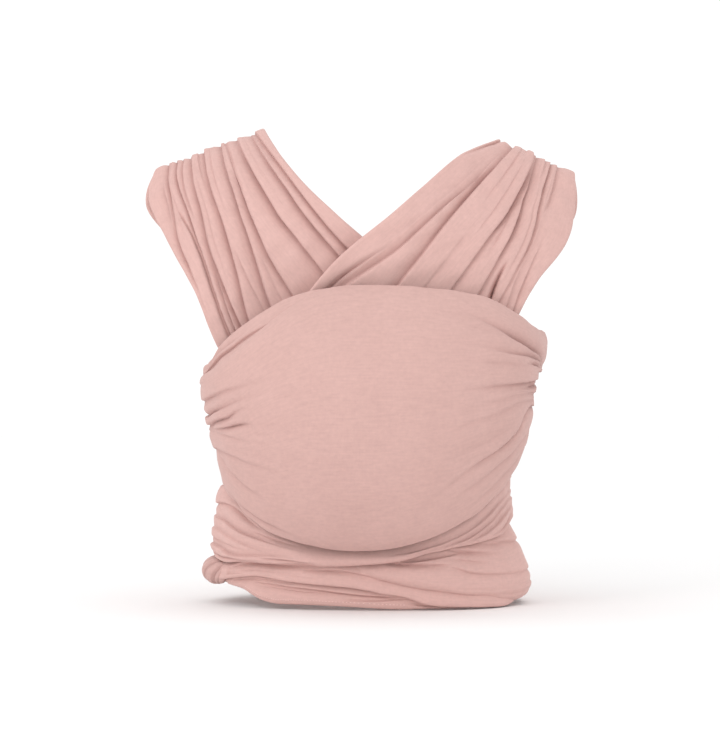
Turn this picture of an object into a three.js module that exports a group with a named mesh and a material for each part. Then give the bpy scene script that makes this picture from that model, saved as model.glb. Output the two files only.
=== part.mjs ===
// Baby wrap sling, tied ready to carry: one long jersey cloth wound round the
// wearer as a pocket wrap cross carry. Each pass of the cloth is a piece of its own.
// Millimetres, +Z up. The front faces -Y; left and right are as seen from the front.

import * as THREE from 'three';

// Driving dimensions
const bodyCentreX = 4;
const bodyLevelStep = 60;
const roundness = 0.85;
const pouchDepth = 60;
const pouchHeight = 168;
const pouchAbove = 138;
const pouchBelow = 120;
const pouchHalfAngle = 80;
const clothLayer = 3;
const gatheredLayer = 8;
const hiddenLayer = 5;
const threadLayer = 0.8;
const seamGap = 0.012;

// Half width, front depth and back depth of the wearer every bodyLevelStep up.
const bodyForm = new THREE.CatmullRomCurve3([
  new THREE.Vector3(128, 82, 84),
  new THREE.Vector3(118, 80, 74),
  new THREE.Vector3(113, 79, 69),
  new THREE.Vector3(129, 87, 78),
  new THREE.Vector3(140, 92, 87),
  new THREE.Vector3(140, 90, 88),
  new THREE.Vector3(136, 84, 84),
], false, 'catmullrom');
const bodyTop = 6 * bodyLevelStep;

const clothColour = 0xdfb2aa;
const threadColour = 0xe6beb6;

// A point on the wearer at an angle (0 is the front, 90 the right side) and a
// height, lifted outwards by so many layers of cloth.
function ring(angle, height, lift) {
  const body = bodyForm.getPoint(THREE.MathUtils.clamp(height / bodyTop, 0, 1));
  const across = Math.sin(THREE.MathUtils.degToRad(angle));
  const forward = Math.cos(THREE.MathUtils.degToRad(angle));
  const depth = forward >= 0 ? body.y : body.z;
  const x = bodyCentreX + (body.x + lift) * Math.sign(across) * Math.abs(across) ** roundness;
  const y = -(depth + lift) * Math.sign(forward) * Math.abs(forward) ** roundness;
  return new THREE.Vector3(x, y, height);
}

// How far the carried child's weight pushes the front panel out.
function pouch(angle, height) {
  const turn = Math.min(Math.abs(angle) / pouchHalfAngle, 1);
  const reach = height > pouchHeight ? pouchAbove : pouchBelow;
  const rise = Math.min(Math.abs(height - pouchHeight) / reach, 1);
  return pouchDepth * Math.cos(turn * Math.PI / 2) ** 1.3 * (1 - rise ** 2.2);
}

// Smooth value of a list of equal-length rows at a place from 0 to 1 along it.
function smoothRow(rows, place) {
  const reach = place * (rows.length - 1);
  const start = Math.min(Math.floor(reach), rows.length - 2);
  const part = reach - start;
  const before = rows[Math.max(start - 1, 0)];
  const after = rows[Math.min(start + 2, rows.length - 1)];
  return rows[start].map((from, i) => {
    const to = rows[start + 1][i];
    const slopeIn = (to - before[i]) / 2;
    const slopeOut = (after[i] - from) / 2;
    const square = part * part;
    const cube = square * part;
    return (2 * cube - 3 * square + 1) * from + (cube - 2 * square + part) * slopeIn
      + (3 * square - 2 * cube) * to + (cube - square) * slopeOut;
  });
}

// A closed slab between an outer and an inner face, each a function of the place
// along the cloth and the place across it.
function slab(name, outer, inner, along, across, colour = clothColour) {
  const positions = [];
  for (const face of [outer, inner]) {
    for (let i = 0; i <= along; i += 1) {
      for (let j = 0; j <= across; j += 1) {
        const point = face(i / along, j / across);
        positions.push(point.x, point.y, point.z);
      }
    }
  }
  const faceSize = (along + 1) * (across + 1);
  const at = (side, i, j) => side * faceSize + i * (across + 1) + j;
  const faces = [];
  const quad = (a, b, c, d) => faces.push(a, b, c, a, c, d);
  for (let i = 0; i < along; i += 1) {
    for (let j = 0; j < across; j += 1) {
      quad(at(0, i, j), at(0, i + 1, j), at(0, i + 1, j + 1), at(0, i, j + 1));
      quad(at(1, i, j), at(1, i, j + 1), at(1, i + 1, j + 1), at(1, i + 1, j));
    }
    quad(at(0, i, 0), at(1, i, 0), at(1, i + 1, 0), at(0, i + 1, 0));
    quad(at(0, i, across), at(0, i + 1, across), at(1, i + 1, across), at(1, i, across));
  }
  for (let j = 0; j < across; j += 1) {
    quad(at(0, 0, j), at(0, 0, j + 1), at(1, 0, j + 1), at(1, 0, j));
    quad(at(0, along, j), at(1, along, j), at(1, along, j + 1), at(0, along, j + 1));
  }
  const geometry = new THREE.BufferGeometry();
  geometry.setAttribute('position', new THREE.Float32BufferAttribute(positions, 3));
  geometry.setIndex(faces);
  geometry.computeVertexNormals();
  const material = new THREE.MeshStandardMaterial({ color: colour, roughness: 0.92, metalness: 0 });
  const mesh = new THREE.Mesh(geometry, material);
  mesh.name = name;
  return mesh;
}

// A pass round the body. Each row holds angle, lower edge, upper edge and lift.
function bodyPass(name, rows, { thick, along, across = 5, bulge = () => 0, colour }) {
  const face = (side) => (u, v) => {
    const [angle, low, high, lift] = smoothRow(rows, u);
    const height = THREE.MathUtils.lerp(Math.max(low, 0), high, v);
    return ring(angle, height, lift + bulge(angle, height) + side * thick / 2);
  };
  return slab(name, face(1), face(-1), along, across, colour);
}

// A stretch of a route over a shoulder, between two of its rows. Each row holds the
// outer edge's x, y, z, the inner edge's x, y, z, and how far the middle is crowned.
function routePass(name, rows, { thick, along, across = 6, from = 0, to = rows.length - 1, flip = false, colour }) {
  const last = rows.length - 1;
  const middle = (u, v) => {
    const row = smoothRow(rows, u);
    const outerEdge = new THREE.Vector3(row[0], row[1], row[2]);
    const innerEdge = new THREE.Vector3(row[3], row[4], row[5]);
    return { point: outerEdge.lerp(innerEdge, v), crown: row[6] * 4 * v * (1 - v) };
  };
  const normal = (u, v) => {
    const step = 0.004;
    const ahead = middle(Math.min(u + step, 1), v).point.sub(middle(Math.max(u - step, 0), v).point);
    const side = middle(u, Math.min(v + step, 1)).point.sub(middle(u, Math.max(v - step, 0)).point);
    return ahead.cross(side).normalize().multiplyScalar(flip ? -1 : 1);
  };
  const face = (side) => (place, across01) => {
    const u = THREE.MathUtils.lerp(from, to, place) / last;
    const v = flip ? 1 - across01 : across01;
    const { point, crown } = middle(u, v);
    return point.addScaledVector(normal(u, v), crown + side * thick / 2);
  };
  return slab(name, face(1), face(-1), along, across, colour);
}

// A gathered roll, such as a twist or a knot lobe. Each row holds the middle's
// x, y, z and the roll's half width and half thickness; across is its wide way.
function roll(name, rows, across, { along, around = 10 }) {
  const wide = new THREE.Vector3(...across).normalize();
  const face = (side) => (u, v) => {
    const [x, y, z, halfWidth, halfThick] = smoothRow(rows, u);
    const ahead = smoothRow(rows, Math.min(u + 0.01, 1));
    const behind = smoothRow(rows, Math.max(u - 0.01, 0));
    const run = new THREE.Vector3(ahead[0] - behind[0], ahead[1] - behind[1], ahead[2] - behind[2]);
    const sideways = wide.clone().addScaledVector(run, -wide.dot(run) / run.lengthSq()).normalize();
    const out = run.clone().cross(sideways).normalize();
    const turn = Math.PI * (0.04 + 0.92 * v);
    return new THREE.Vector3(x, y, z)
      .addScaledVector(sideways, -Math.cos(turn) * halfWidth)
      .addScaledVector(out, side * Math.sin(turn) * halfThick);
  };
  return slab(name, face(1), face(-1), along, around / 2);
}

const wrap = new THREE.Group();

// Front panel: the middle of the cloth, spread over the pouch.
const panelRows = [
  [-86.7, 113, 222, 20], [-64, 109, 231, 23], [-46, 97, 242, 26], [-31, 73, 266, 30],
  [-16, 61, 291, 33], [0, 55, 298, 34], [15, 65, 295, 34], [32, 90, 288, 33],
  [50, 122, 272, 30], [68, 146, 262, 27], [86.7, 158, 257, 26],
];
wrap.add(bodyPass('front_panel', panelRows, { thick: clothLayer, along: 28, across: 12, bulge: pouch }));

// The panel's top edge is doubled inwards at the left, where it was pulled up.
const topFoldRows = [[-74, 198, 221, 15], [-56, 200, 231, 17], [-40, 218, 246, 19], [-26, 250, 271, 22]];
wrap.add(bodyPass('panel_top_fold', topFoldRows, { thick: clothLayer, along: 8, across: 3, bulge: pouch }));

// The panel's gathered sides turn round the ribs towards the back.
const leftSideRows = [[-87, 113, 222, 20], [-102, 122, 230, 17], [-119.2, 138, 246, 15]];
const rightSideRows = [[87, 158, 257, 26], [102, 158, 258, 19], [119.2, 156, 262, 8]];
const sideShape = { thick: gatheredLayer, along: 6, across: 5 };
wrap.add(bodyPass('right_side_turn', rightSideRows, sideShape));
wrap.add(bodyPass('left_side_turn', leftSideRows.toReversed(), sideShape));

// The cradle: the panel's lower part, gathered into a sling under the pouch.
const cradleRows = [
  [-88, 50, 104, 29], [-72, 48, 101, 30], [-56, 46, 92, 31], [-40, 44, 80, 31], [-24, 41, 66, 31],
  [-8, 38, 58, 31], [8, 40, 60, 31], [22, 48, 70, 31], [38, 60, 88, 31], [56, 70, 108, 30],
  [72, 76, 132, 29], [88, 80, 148, 28],
];
wrap.add(bodyPass('pouch_cradle', cradleRows, { thick: 6, along: 24, across: 3 }));

// Where a shoulder's pass reaches the other side of the ribs.
function sideFoot(angle, low, high, lift) {
  return [...ring(angle, low, lift).toArray(), ...ring(angle, high, lift).toArray(), 0];
}

// The two routes. Each starts at one side, climbs the back to the other shoulder,
// comes down in front and crosses the belly to the hip that it started above.
const leftRoute = [
  sideFoot(120, 156, 262, 8), sideFoot(138, 156, 264, 7),
  [-30, 78, 190, 62, 83, 286, 2], [-100, 61, 254, 6, 86, 330, 2], [-158, 58, 320, -36, 83, 372, 3],
  [-192, 40, 378, -72, 56, 418, 5], [-200, 14, 408, -92, 15, 448, 6], [-198, -18, 385, -76, -43, 421, 5],
  [-178, -46, 337, -52, -75, 391, 4], [-155, -67, 292, -22, -88, 362, 3], [-134, -78, 243, 26, -89, 318, 3],
  [-102, -65, 190, 72, -78, 258, 2], [-58, -67, 136, 108, -66, 212, 2], [4, -72, 92, 120, -42, 176, 2],
  [64, -62, 60, 116, -10, 142, 1], [106, -32, 40, 114, 24, 118, 0],
];
const rightRoute = [
  sideFoot(-120, 138, 246, 15), sideFoot(-138, 140, 250, 15),
  [38, 100, 190, -54, 104, 286, 3], [108, 90, 254, 2, 109, 330, 3], [164, 76, 320, 44, 99, 372, 3],
  [194, 46, 374, 92, 62, 410, 5], [200, 14, 402, 128, 15, 438, 6], [198, -16, 376, 92, -41, 421, 5],
  [185, -46, 337, 58, -78, 391, 4], [160, -72, 299, 26, -105, 362, 4], [138, -84, 258, -26, -112, 318, 4],
  [112, -88, 200, -74, -103, 258, 2], [66, -95, 136, -108, -89, 212, 2], [2, -92, 90, -122, -60, 168, 3],
  [-60, -80, 60, -119, -20, 134, 2], [-104, -46, 40, -115, 22, 112, 0],
];
const backEnd = 4.2;
const chestStart = 10.6;
for (const [side, route, flip] of [['left', leftRoute, true], ['right', rightRoute, false]]) {
  const lastRow = route.length - 1;
  wrap.add(routePass(`${side}_back_cross`, route, {
    thick: gatheredLayer, along: 16, to: backEnd - seamGap, flip,
  }));
  wrap.add(routePass(`${side}_shoulder_pass`, route, {
    thick: gatheredLayer, along: 24, from: backEnd, to: chestStart - seamGap, flip,
  }));
  wrap.add(routePass(`${side}_chest_cross`, route, {
    thick: hiddenLayer, along: 16, across: 5, from: chestStart, to: lastRow, flip,
  }));
}

// Waist bands in front: two from the hip twist, and one from the right hip over them.
const lowerBandRows = [
  [-61.6, 16, 29, 16], [-48, 13, 30, 15], [-36, 7, 29, 14], [-20, 5, 27, 14], [-4, 3, 24, 14],
  [12, 0, 22, 14], [30, 0, 20, 14], [50, 0, 18, 15], [66, 0, 16, 16],
];
const upperBandRows = [
  [-61.6, 22, 40, 22], [-48, 24, 52, 21], [-36, 25, 54, 20], [-20, 23, 50, 20], [-4, 18, 46, 20],
  [12, 9, 38, 20], [28, 3, 32, 20], [46, 1, 28, 21], [64, 2, 26, 21],
];
const rightBandRows = [
  [-10, 36, 46, 25], [4, 29, 46, 25], [16, 19, 48, 25], [30, 13, 58, 25], [46, 9, 64, 25],
  [62, 8, 70, 25], [78, 8, 72, 27], [92, 9, 76, 29],
];
wrap.add(bodyPass('waist_band_lower', lowerBandRows, { thick: clothLayer, along: 18, across: 3 }));
wrap.add(bodyPass('waist_band_upper', upperBandRows, { thick: clothLayer, along: 18, across: 3 }));
wrap.add(bodyPass('waist_band_right', rightBandRows, { thick: clothLayer, along: 16, across: 4 }));

// The twist on the left hip, where the cloth is cinched as it turns round the side.
const twistRows = [-62, -72, -84, -96, -108, -118].map((angle, i) => {
  const halfWidths = [7, 11, 12.5, 12.5, 12, 11];
  const halfThicks = [5, 9, 11, 11, 9, 7];
  return [...ring(angle, 31, 21).toArray(), halfWidths[i], halfThicks[i]];
});
wrap.add(roll('hip_twist', twistRows, [0, 0, 1], { along: 12 }));

// Behind, the two ends cross round the waist.
const innerWaistRows = [
  [92.4, 10, 74, 29], [112, 6, 72, 20], [134, 0, 78, 16], [157, 0, 88, 13], [180, 0, 92, 12],
  [203, 6, 98, 13], [226, 30, 104, 15], [248, 46, 106, 20], [271.6, 51, 104, 28],
];
wrap.add(bodyPass('back_waist_inner', innerWaistRows, { thick: 6, along: 24, across: 4 }));

// The two ends come round from the sides and are tied at the middle of the back.
const rightEndRows = [
  [88.4, 84, 148, 28], [110, 84, 147, 28], [130, 88, 144, 26], [150, 93, 140, 25], [166, 98, 136, 25],
  [179, 102, 130, 26],
];
const leftEndRows = [
  [183, 102, 130, 26], [196, 90, 126, 25], [212, 56, 98, 25], [226, 28, 64, 26], [241.4, 18, 44, 27],
];
wrap.add(bodyPass('right_end_pass', rightEndRows, { thick: 6, along: 14, across: 4 }));
wrap.add(bodyPass('left_end_pass', leftEndRows, { thick: 6, along: 12, across: 4 }));

// The two half knots, one above the other.
const knotOut = 114;
const knotReach = 33;
function halfKnot(name, height, halfHeight, curl) {
  const places = [-1, -0.6, 0, 0.6, 1];
  const rows = places.map((place) => {
    const fullness = 1 - 0.45 * place ** 2;
    return [place * knotReach, knotOut - 5 * place ** 2, height + curl * place ** 2,
      halfHeight * fullness, 12 * fullness];
  });
  return roll(name, rows, [0, 0, 1], { along: 12 });
}
wrap.add(halfKnot('back_knot_lower', 111, 14, 4));
wrap.add(halfKnot('back_knot_upper', 139, 13, -4));

// The loose tails hang from the upper half knot, one each side.
const rightTailRows = [
  [37, 112, 133, 52, 112, 129, 2], [37, 115, 106, 60, 115, 104, 3], [35, 113, 62, 70, 113, 64, 3],
  [32, 110, 8, 78, 110, 20, 2],
];
const leftTailRows = [
  [-54, 112, 129, -37, 112, 133, 2], [-61, 115, 108, -37, 115, 106, 3], [-70, 113, 76, -36, 113, 74, 3],
  [-77, 110, 44, -34, 110, 30, 2],
];
const tailShape = { thick: 7, along: 10, across: 4 };
wrap.add(routePass('right_tail', rightTailRows, { ...tailShape, flip: true }));
wrap.add(routePass('left_tail', leftTailRows, { ...tailShape, flip: true }));

// Overlock thread: one line along the hem that shows in front, and one across the
// end of each tail.
const threadLift = (clothLayer + threadLayer) / 2 + 0.3;
const hemThreadRows = lowerBandRows.slice(1, 6).map(([angle, low, , lift]) => [
  angle, low + 4, low + 8, lift + threadLift,
]);
wrap.add(bodyPass('waist_hem_thread', hemThreadRows, {
  thick: threadLayer, along: 16, across: 1, colour: threadColour,
}));
function tailThread(name, rows) {
  const out = (tailShape.thick + threadLayer) / 2 + 0.4;
  const raised = rows.map(([a, b, c, d, e, f, crown]) => [a, b + out, c, d, e + out, f, crown]);
  const end = rows.length - 1;
  return routePass(name, raised, {
    thick: threadLayer, along: 2, across: 4, from: end - 0.14, to: end - 0.06, flip: true, colour: threadColour,
  });
}
wrap.add(tailThread('right_tail_thread', rightTailRows));
wrap.add(tailThread('left_tail_thread', leftTailRows));

// The origin is under the middle of the wrap's box, on the surface it stands on.
const extent = new THREE.Box3().setFromObject(wrap, true);
const middle = extent.getCenter(new THREE.Vector3());
const sling = new THREE.Group();
wrap.position.set(-middle.x, -middle.y, -extent.min.z);
sling.add(wrap);

export default sling;
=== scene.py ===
import math
import bpy
import numpy as np
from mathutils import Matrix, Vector


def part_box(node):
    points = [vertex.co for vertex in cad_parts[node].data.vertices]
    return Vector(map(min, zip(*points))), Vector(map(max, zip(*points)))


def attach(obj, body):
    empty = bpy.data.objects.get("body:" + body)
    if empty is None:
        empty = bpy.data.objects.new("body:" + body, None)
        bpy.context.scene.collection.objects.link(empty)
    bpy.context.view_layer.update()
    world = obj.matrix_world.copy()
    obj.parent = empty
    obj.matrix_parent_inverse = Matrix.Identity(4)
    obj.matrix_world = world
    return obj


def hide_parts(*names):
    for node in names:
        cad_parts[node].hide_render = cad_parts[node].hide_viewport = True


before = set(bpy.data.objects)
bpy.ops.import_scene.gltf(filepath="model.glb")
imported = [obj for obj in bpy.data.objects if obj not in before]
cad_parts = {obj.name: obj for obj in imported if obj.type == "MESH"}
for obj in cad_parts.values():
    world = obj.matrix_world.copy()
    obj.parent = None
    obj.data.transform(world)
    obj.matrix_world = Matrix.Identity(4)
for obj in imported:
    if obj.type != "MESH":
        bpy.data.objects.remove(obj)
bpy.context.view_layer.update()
print("frame loaded:", len(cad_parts), "cad nodes")

# Shapes are worked out in millimetres round the wearer's axis, front towards -Y,
# and moved into the frame's metres when a mesh is made.
toMetres = 0.001
panelReach = 182.4    # front of the panel from the wearer's axis
axisShift = np.array([0.03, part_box("front_panel")[0].y / toMetres + panelReach, 0.0])

wearer = {
    "centreX": 4.0,
    "top": 360.0,
    "roundness": 0.85,
    # half width, front depth and back depth, each a sixth of the top higher
    "form": [(128, 82, 84), (118, 80, 74), (113, 79, 69), (129, 87, 78),
             (140, 92, 87), (140, 90, 88), (136, 84, 84)],
    "pouchDepth": 60.0,
    "pouchHeight": 168.0,
    "pouchAbove": 138.0,
    "pouchBelow": 120.0,
    "pouchAngle": 80.0,
}


def hermite(part, start, end, slopeIn, slopeOut):
    # cubic that leaves start with slopeIn and reaches end with slopeOut
    square = part * part
    cube = square * part
    return ((2 * cube - 3 * square + 1) * start + (cube - 2 * square + part) * slopeIn
            + (3 * square - 2 * cube) * end + (cube - square) * slopeOut)


def smoothRows(rows, place):
    # Catmull-Rom through equal-length rows, place counted in rows
    rows = np.asarray(rows, float)
    start = np.clip(np.floor(place).astype(int), 0, len(rows) - 2)
    part = (place - start)[..., None]
    before = rows[np.maximum(start - 1, 0)]
    after = rows[np.minimum(start + 2, len(rows) - 1)]
    here, there = rows[start], rows[start + 1]
    return hermite(part, here, there, (there - before) / 2, (after - here) / 2)


def smoothLine(x, xs, ys):
    # cubic through points at uneven spacing, flat beyond both ends
    xs, ys = np.asarray(xs, float), np.asarray(ys, float)
    slopes = np.gradient(ys, xs)
    start = np.clip(np.searchsorted(xs, x) - 1, 0, len(xs) - 2)
    span = xs[start + 1] - xs[start]
    part = np.clip((x - xs[start]) / span, 0, 1)
    return hermite(part, ys[start], ys[start + 1], slopes[start] * span, slopes[start + 1] * span)


def unit(vectors):
    # each vector divided by its own length
    return vectors / np.maximum(np.linalg.norm(vectors, axis=-1, keepdims=True), 1e-9)


def ring(angle, height, lift):
    # squashed ellipse round the wearer: half width times sine, depth times cosine
    form = np.asarray(wearer["form"], float)
    form = np.vstack([2 * form[0] - form[1], form, 2 * form[-1] - form[-2]])
    level = 1 + np.clip(height / wearer["top"], 0, 1) * (len(form) - 3)
    body = smoothRows(form, level)
    across, forward = np.sin(np.radians(angle)), np.cos(np.radians(angle))
    depth = np.where(forward >= 0, body[..., 1], body[..., 2])
    power = wearer["roundness"]
    x = wearer["centreX"] + (body[..., 0] + lift) * np.sign(across) * np.abs(across) ** power
    y = -(depth + lift) * np.sign(forward) * np.abs(forward) ** power
    return np.stack([x, y, height + 0 * x], axis=-1)


def pouch(angle, height):
    # the child's bulge: a cosine round the body times a flat-topped rise and fall
    turn = np.minimum(np.abs(angle) / wearer["pouchAngle"], 1)
    reach = np.where(height > wearer["pouchHeight"], wearer["pouchAbove"], wearer["pouchBelow"])
    rise = np.minimum(np.abs(height - wearer["pouchHeight"]) / reach, 1)
    return wearer["pouchDepth"] * np.cos(turn * np.pi / 2) ** 1.3 * (1 - rise ** 2.2)


def noBulge(angle, height):
    # nothing added, for a pass that lies close to the wearer
    return 0 * angle


def unevenness(along, across, seed, size, waves=7):
    # a few long sine waves in random directions, added up
    rng = np.random.default_rng(seed)
    total = 0 * along
    for _ in range(waves):
        heading = rng.uniform(0, math.tau)
        length = rng.uniform(18, 60)
        phase = rng.uniform(0, math.tau)
        distance = along * math.cos(heading) + across * math.sin(heading)
        total = total + np.sin(distance * math.tau / length + phase)
    return total * size / math.sqrt(waves)


folding = {
    "lean": 0.22,        # how far a wall's lip leans, for each millimetre of depth
    "fullPaintedShade": 5,      # depth at which a valley's painted shade is full
    "widening": 3.5,     # how much wider a valley is in the tucked layers
}


def foldField(along, across, scale, creases):
    # Every crease is a valley: a narrow wall on one side, and a floor that rises slowly
    # on the other. Returns height, sideways lean of the wall's lip and painted shade,
    # darker the deeper in a valley a place is. Valleys that meet join as the cube root of their
    # summed cubes.
    total, lean, paintedCreaseShade = 0 * across, 0 * across, 0 * across
    for side, wall, slope, *stations in creases:
        stations = np.asarray(stations, float)
        middle = smoothLine(along, stations[:, 0], stations[:, 1])
        depth = np.interp(along, stations[:, 0], stations[:, 2], left=0, right=0)
        away = (across - middle) * scale * -side
        steep = np.exp(-(away / wall) ** 2)
        gentle = np.exp(-(np.abs(away) / slope) ** 1.6)
        valley = np.where(away < 0, steep, gentle)
        total = total + (depth * valley) ** 3
        lip = np.exp(-((away + 1.6 * wall) / (1.2 * wall)) ** 2)
        lean = lean - side * folding["lean"] * depth * lip
        # painted shade: darker the deeper a place lies in a valley
        floor = np.where(away < 0, 0.9 * wall, 0.45 * slope)
        shade = np.clip(depth / folding["fullPaintedShade"], 0, 1) ** 1.5
        paintedCreaseShade = np.maximum(paintedCreaseShade, shade * np.exp(-(away / floor) ** 2))
    return -np.cbrt(total), lean, paintedCreaseShade


def widened(creases):
    # the same valleys, wider, so a tucked layer stays behind the front one
    more = folding["widening"]
    return [[side, max(wall, more), slope + more, *rest] for side, wall, slope, *rest in creases]


def gatherColumns(along, across, scale, creases, reach=3.2, pull=0.55):
    # moves the grid's columns towards each crease, so its wall is well described
    for side, wall, slope, *stations in creases:
        stations = np.asarray(stations, float)
        middle = smoothLine(along, stations[:, 0], stations[:, 1])
        depth = np.interp(along, stations[:, 0], stations[:, 2], left=0, right=0)
        away = (across - middle) * scale
        strength = pull * np.clip(depth / 2.5, 0, 1)
        across = across - strength * away * np.exp(-(away / reach) ** 2) / scale
    return across


def makeMesh(name, points, faces, uvs=None, paintedCreaseShade=None):
    # each point is moved by axisShift and scaled to metres, faces are rows of corners
    mesh = bpy.data.meshes.new(name)
    points = (points.reshape(-1, 3) + axisShift) * toMetres
    mesh.vertices.add(len(points))
    mesh.vertices.foreach_set("co", points.astype(np.float32).ravel())
    corners = faces.shape[1]
    mesh.loops.add(faces.size)
    mesh.loops.foreach_set("vertex_index", faces.astype(np.int32).ravel())
    mesh.polygons.add(len(faces))
    mesh.polygons.foreach_set("loop_start", np.arange(0, faces.size, corners, dtype=np.int32))
    mesh.polygons.foreach_set("use_smooth", np.ones(len(faces), bool))
    if uvs is not None:
        layer = mesh.uv_layers.new(name="cloth")
        layer.data.foreach_set("uv", uvs.reshape(-1, 2)[faces.ravel()].astype(np.float32).ravel())
    # painted shade of the creases, stored per point for the material
    if paintedCreaseShade is not None:
        shade = mesh.attributes.new("paintedCreaseShade", "FLOAT", "POINT")
        shade.data.foreach_set("value", paintedCreaseShade.astype(np.float32).ravel())
    mesh.update(calc_edges=True)
    mesh.validate()
    piece = bpy.data.objects.new(name, mesh)
    bpy.context.scene.collection.objects.link(piece)
    return piece


def gridFaces(rows, columns, closed=False):
    # quads of a grid of points, rows first; closed joins the last column to the first
    across = columns if closed else columns - 1
    i, j = np.meshgrid(np.arange(rows - 1), np.arange(across), indexing="ij")
    right = (j + 1) % columns
    here, there = i * columns, (i + 1) * columns
    return np.stack([here + j, there + j, there + right, here + right], -1).reshape(-1, 4)


def crispEnds(mesh, rows, columns):
    # the two cut ends are sharp, so the cloth's thickness there doesn't bend its shading
    pairs = np.empty(len(mesh.edges) * 2, dtype=np.int32)
    mesh.edges.foreach_get("vertices", pairs)
    row = pairs.reshape(-1, 2) // columns
    atEnd = (row == 0).all(axis=1) | (row == rows - 1).all(axis=1)
    sharp = mesh.attributes.get("sharp_edge") or mesh.attributes.new("sharp_edge", "BOOLEAN", "EDGE")
    sharp.data.foreach_set("value", atEnd)


def clothUvs(points):
    # sums of the mean distance between neighbours, along and across the cloth
    run = np.linalg.norm(np.diff(points, axis=0), axis=-1).mean(axis=1)
    span = np.linalg.norm(np.diff(points, axis=1), axis=-1).mean(axis=0)
    u = np.concatenate([[0], np.cumsum(run)])
    v = np.concatenate([[0], np.cumsum(span)])
    grid = np.meshgrid(u, v, indexing="ij")
    return np.stack(grid, -1) * toMetres, (v[-1] * toMetres, u[-1] * toMetres)


def finishCloth(piece, material, thick=0.55):
    # the sheet thickened inwards from its outer face, with its material
    wall = piece.modifiers.new("cloth thickness", "SOLIDIFY")
    wall.thickness = thick * toMetres
    wall.offset = -1
    wall.use_rim = True
    piece.data.materials.append(material)
    return piece


def crossSection(width, rollRadius, tucks, counts):
    # Lateral place and depth of each column: tuck, roll, front, roll, tuck. A roll is
    # half a circle, and the low side's is wider, so its tuck lies behind the other one.
    front, roll, back = counts
    turn = np.linspace(0, np.pi, roll + 2)[1:-1]
    width = width[:, None]
    radius = rollRadius + 0 * width
    wider = radius + 0.7
    away = np.linspace(0, 1, back)[None, :]
    flat = np.zeros((1, front))
    lowTuck = wider + away[:, ::-1] * tucks[0][:, None]
    lowRoll = wider * (1 - np.sin(turn[::-1]))[None, :]
    middle = wider + (width - radius - wider) * np.linspace(0, 1, front)[None, :]
    highRoll = width - radius * (1 - np.sin(turn))[None, :]
    highTuck = width - radius - away * tucks[1][:, None]
    lateral = np.hstack([lowTuck, lowRoll, middle, highRoll, highTuck])
    low = [2 * wider + 0 * away, wider * (1 - np.cos(turn[::-1])), flat + 0 * width]
    high = [radius * (1 - np.cos(turn)), 2 * radius + 0 * away]
    shown = 0.5 + 0.5 * np.cos(turn)
    hidden = np.zeros(back)
    face = np.concatenate([hidden, shown[::-1], np.ones(front), shown, hidden])[None, :]
    return lateral, np.hstack(low + high), face


def tucksOf(width, spec, roll):
    # how far each edge is tucked under, never past the other edge's roll
    room = 0.92 * width - 2 * np.ravel(roll)
    tuck = spec["tuck"]
    wanted = tuck if isinstance(tuck, tuple) else (tuck, tuck)
    return [np.minimum(each, room) for each in wanted]


def byAngle(angle, values):
    # one set of values, or rows that start with an angle, read between the rows
    if np.ndim(values) < 2:
        return np.atleast_1d(values)
    table = np.asarray(values, float)
    return [smoothLine(angle, table[:, 0], table[:, k]) for k in range(1, table.shape[1])]


noEase = (0, 1, 0, 1)


def bodySurface(rows, bulge, ease=noEase):
    # Point and directions of a pass round the body at an angle and a height. Its
    # edges ease inwards: a square law over the last few millimetres of height.
    def at(angle, height):
        low, high, lift = byAngle(angle, rows)
        lowIn, lowOver, highIn, highOver = byAngle(angle, ease)
        lift = lift - lowIn * np.clip(1 - (height - low) / lowOver, 0, 1.3) ** 2
        lift = lift - highIn * np.clip(1 - (high - height) / highOver, 0, 1.3) ** 2
        return ring(angle, height, lift + bulge(angle, height))

    def surface(angle, height):
        ahead = at(angle + 0.7, height) - at(angle - 0.7, height)
        upward = at(angle, height + 1.2) - at(angle, height - 1.2)
        return at(angle, height), unit(np.cross(ahead, upward)), unit(upward)

    return surface


def layeredFold(along, across, scale, creases, face):
    # the front shows the creases; tucked layers follow the same valleys, wider
    fold, lean, paintedCreaseShade = foldField(along, across, scale, creases)
    behind = foldField(along, across, scale, widened(creases))[0]
    return fold * face + behind * (1 - face), lean * face, paintedCreaseShade * face


def bodyPiece(name, rows, spec, material, bulge=noBulge):
    # a pass round the body: rows hold angle, lower edge, upper edge and lift
    angles = np.concatenate([np.linspace(*span) for span in spec["rowsAt"]])
    low, high, _ = byAngle(angles, rows)
    low = np.maximum(low, 0)
    roll = byAngle(angles, spec["roll"])[0].reshape(-1, 1)
    width = high - low
    lateral, depth, face = crossSection(width, roll, tucksOf(width, spec, roll), spec["columns"])
    angle = angles[:, None] + 0 * lateral
    height = gatherColumns(angle, low[:, None] + lateral, 1, spec["creases"])
    fold, lean, paintedCreaseShade = layeredFold(angle, height, 1, spec["creases"], face)
    surface = bodySurface(rows, bulge, spec.get("ease", noEase))
    point, normal, upward = surface(angle, height)
    waviness = unevenness(angle * 2.2, height, spec["seed"], spec["uneven"])
    point = point + normal * (fold + waviness - depth)[..., None] + upward * lean[..., None]
    point[..., 2] = np.maximum(point[..., 2], 0.05)
    uvs, flat = clothUvs(point)
    piece = makeMesh(name, point, gridFaces(*lateral.shape), uvs, paintedCreaseShade)
    crispEnds(piece.data, *lateral.shape)
    return finishCloth(piece, material), flat


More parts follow.
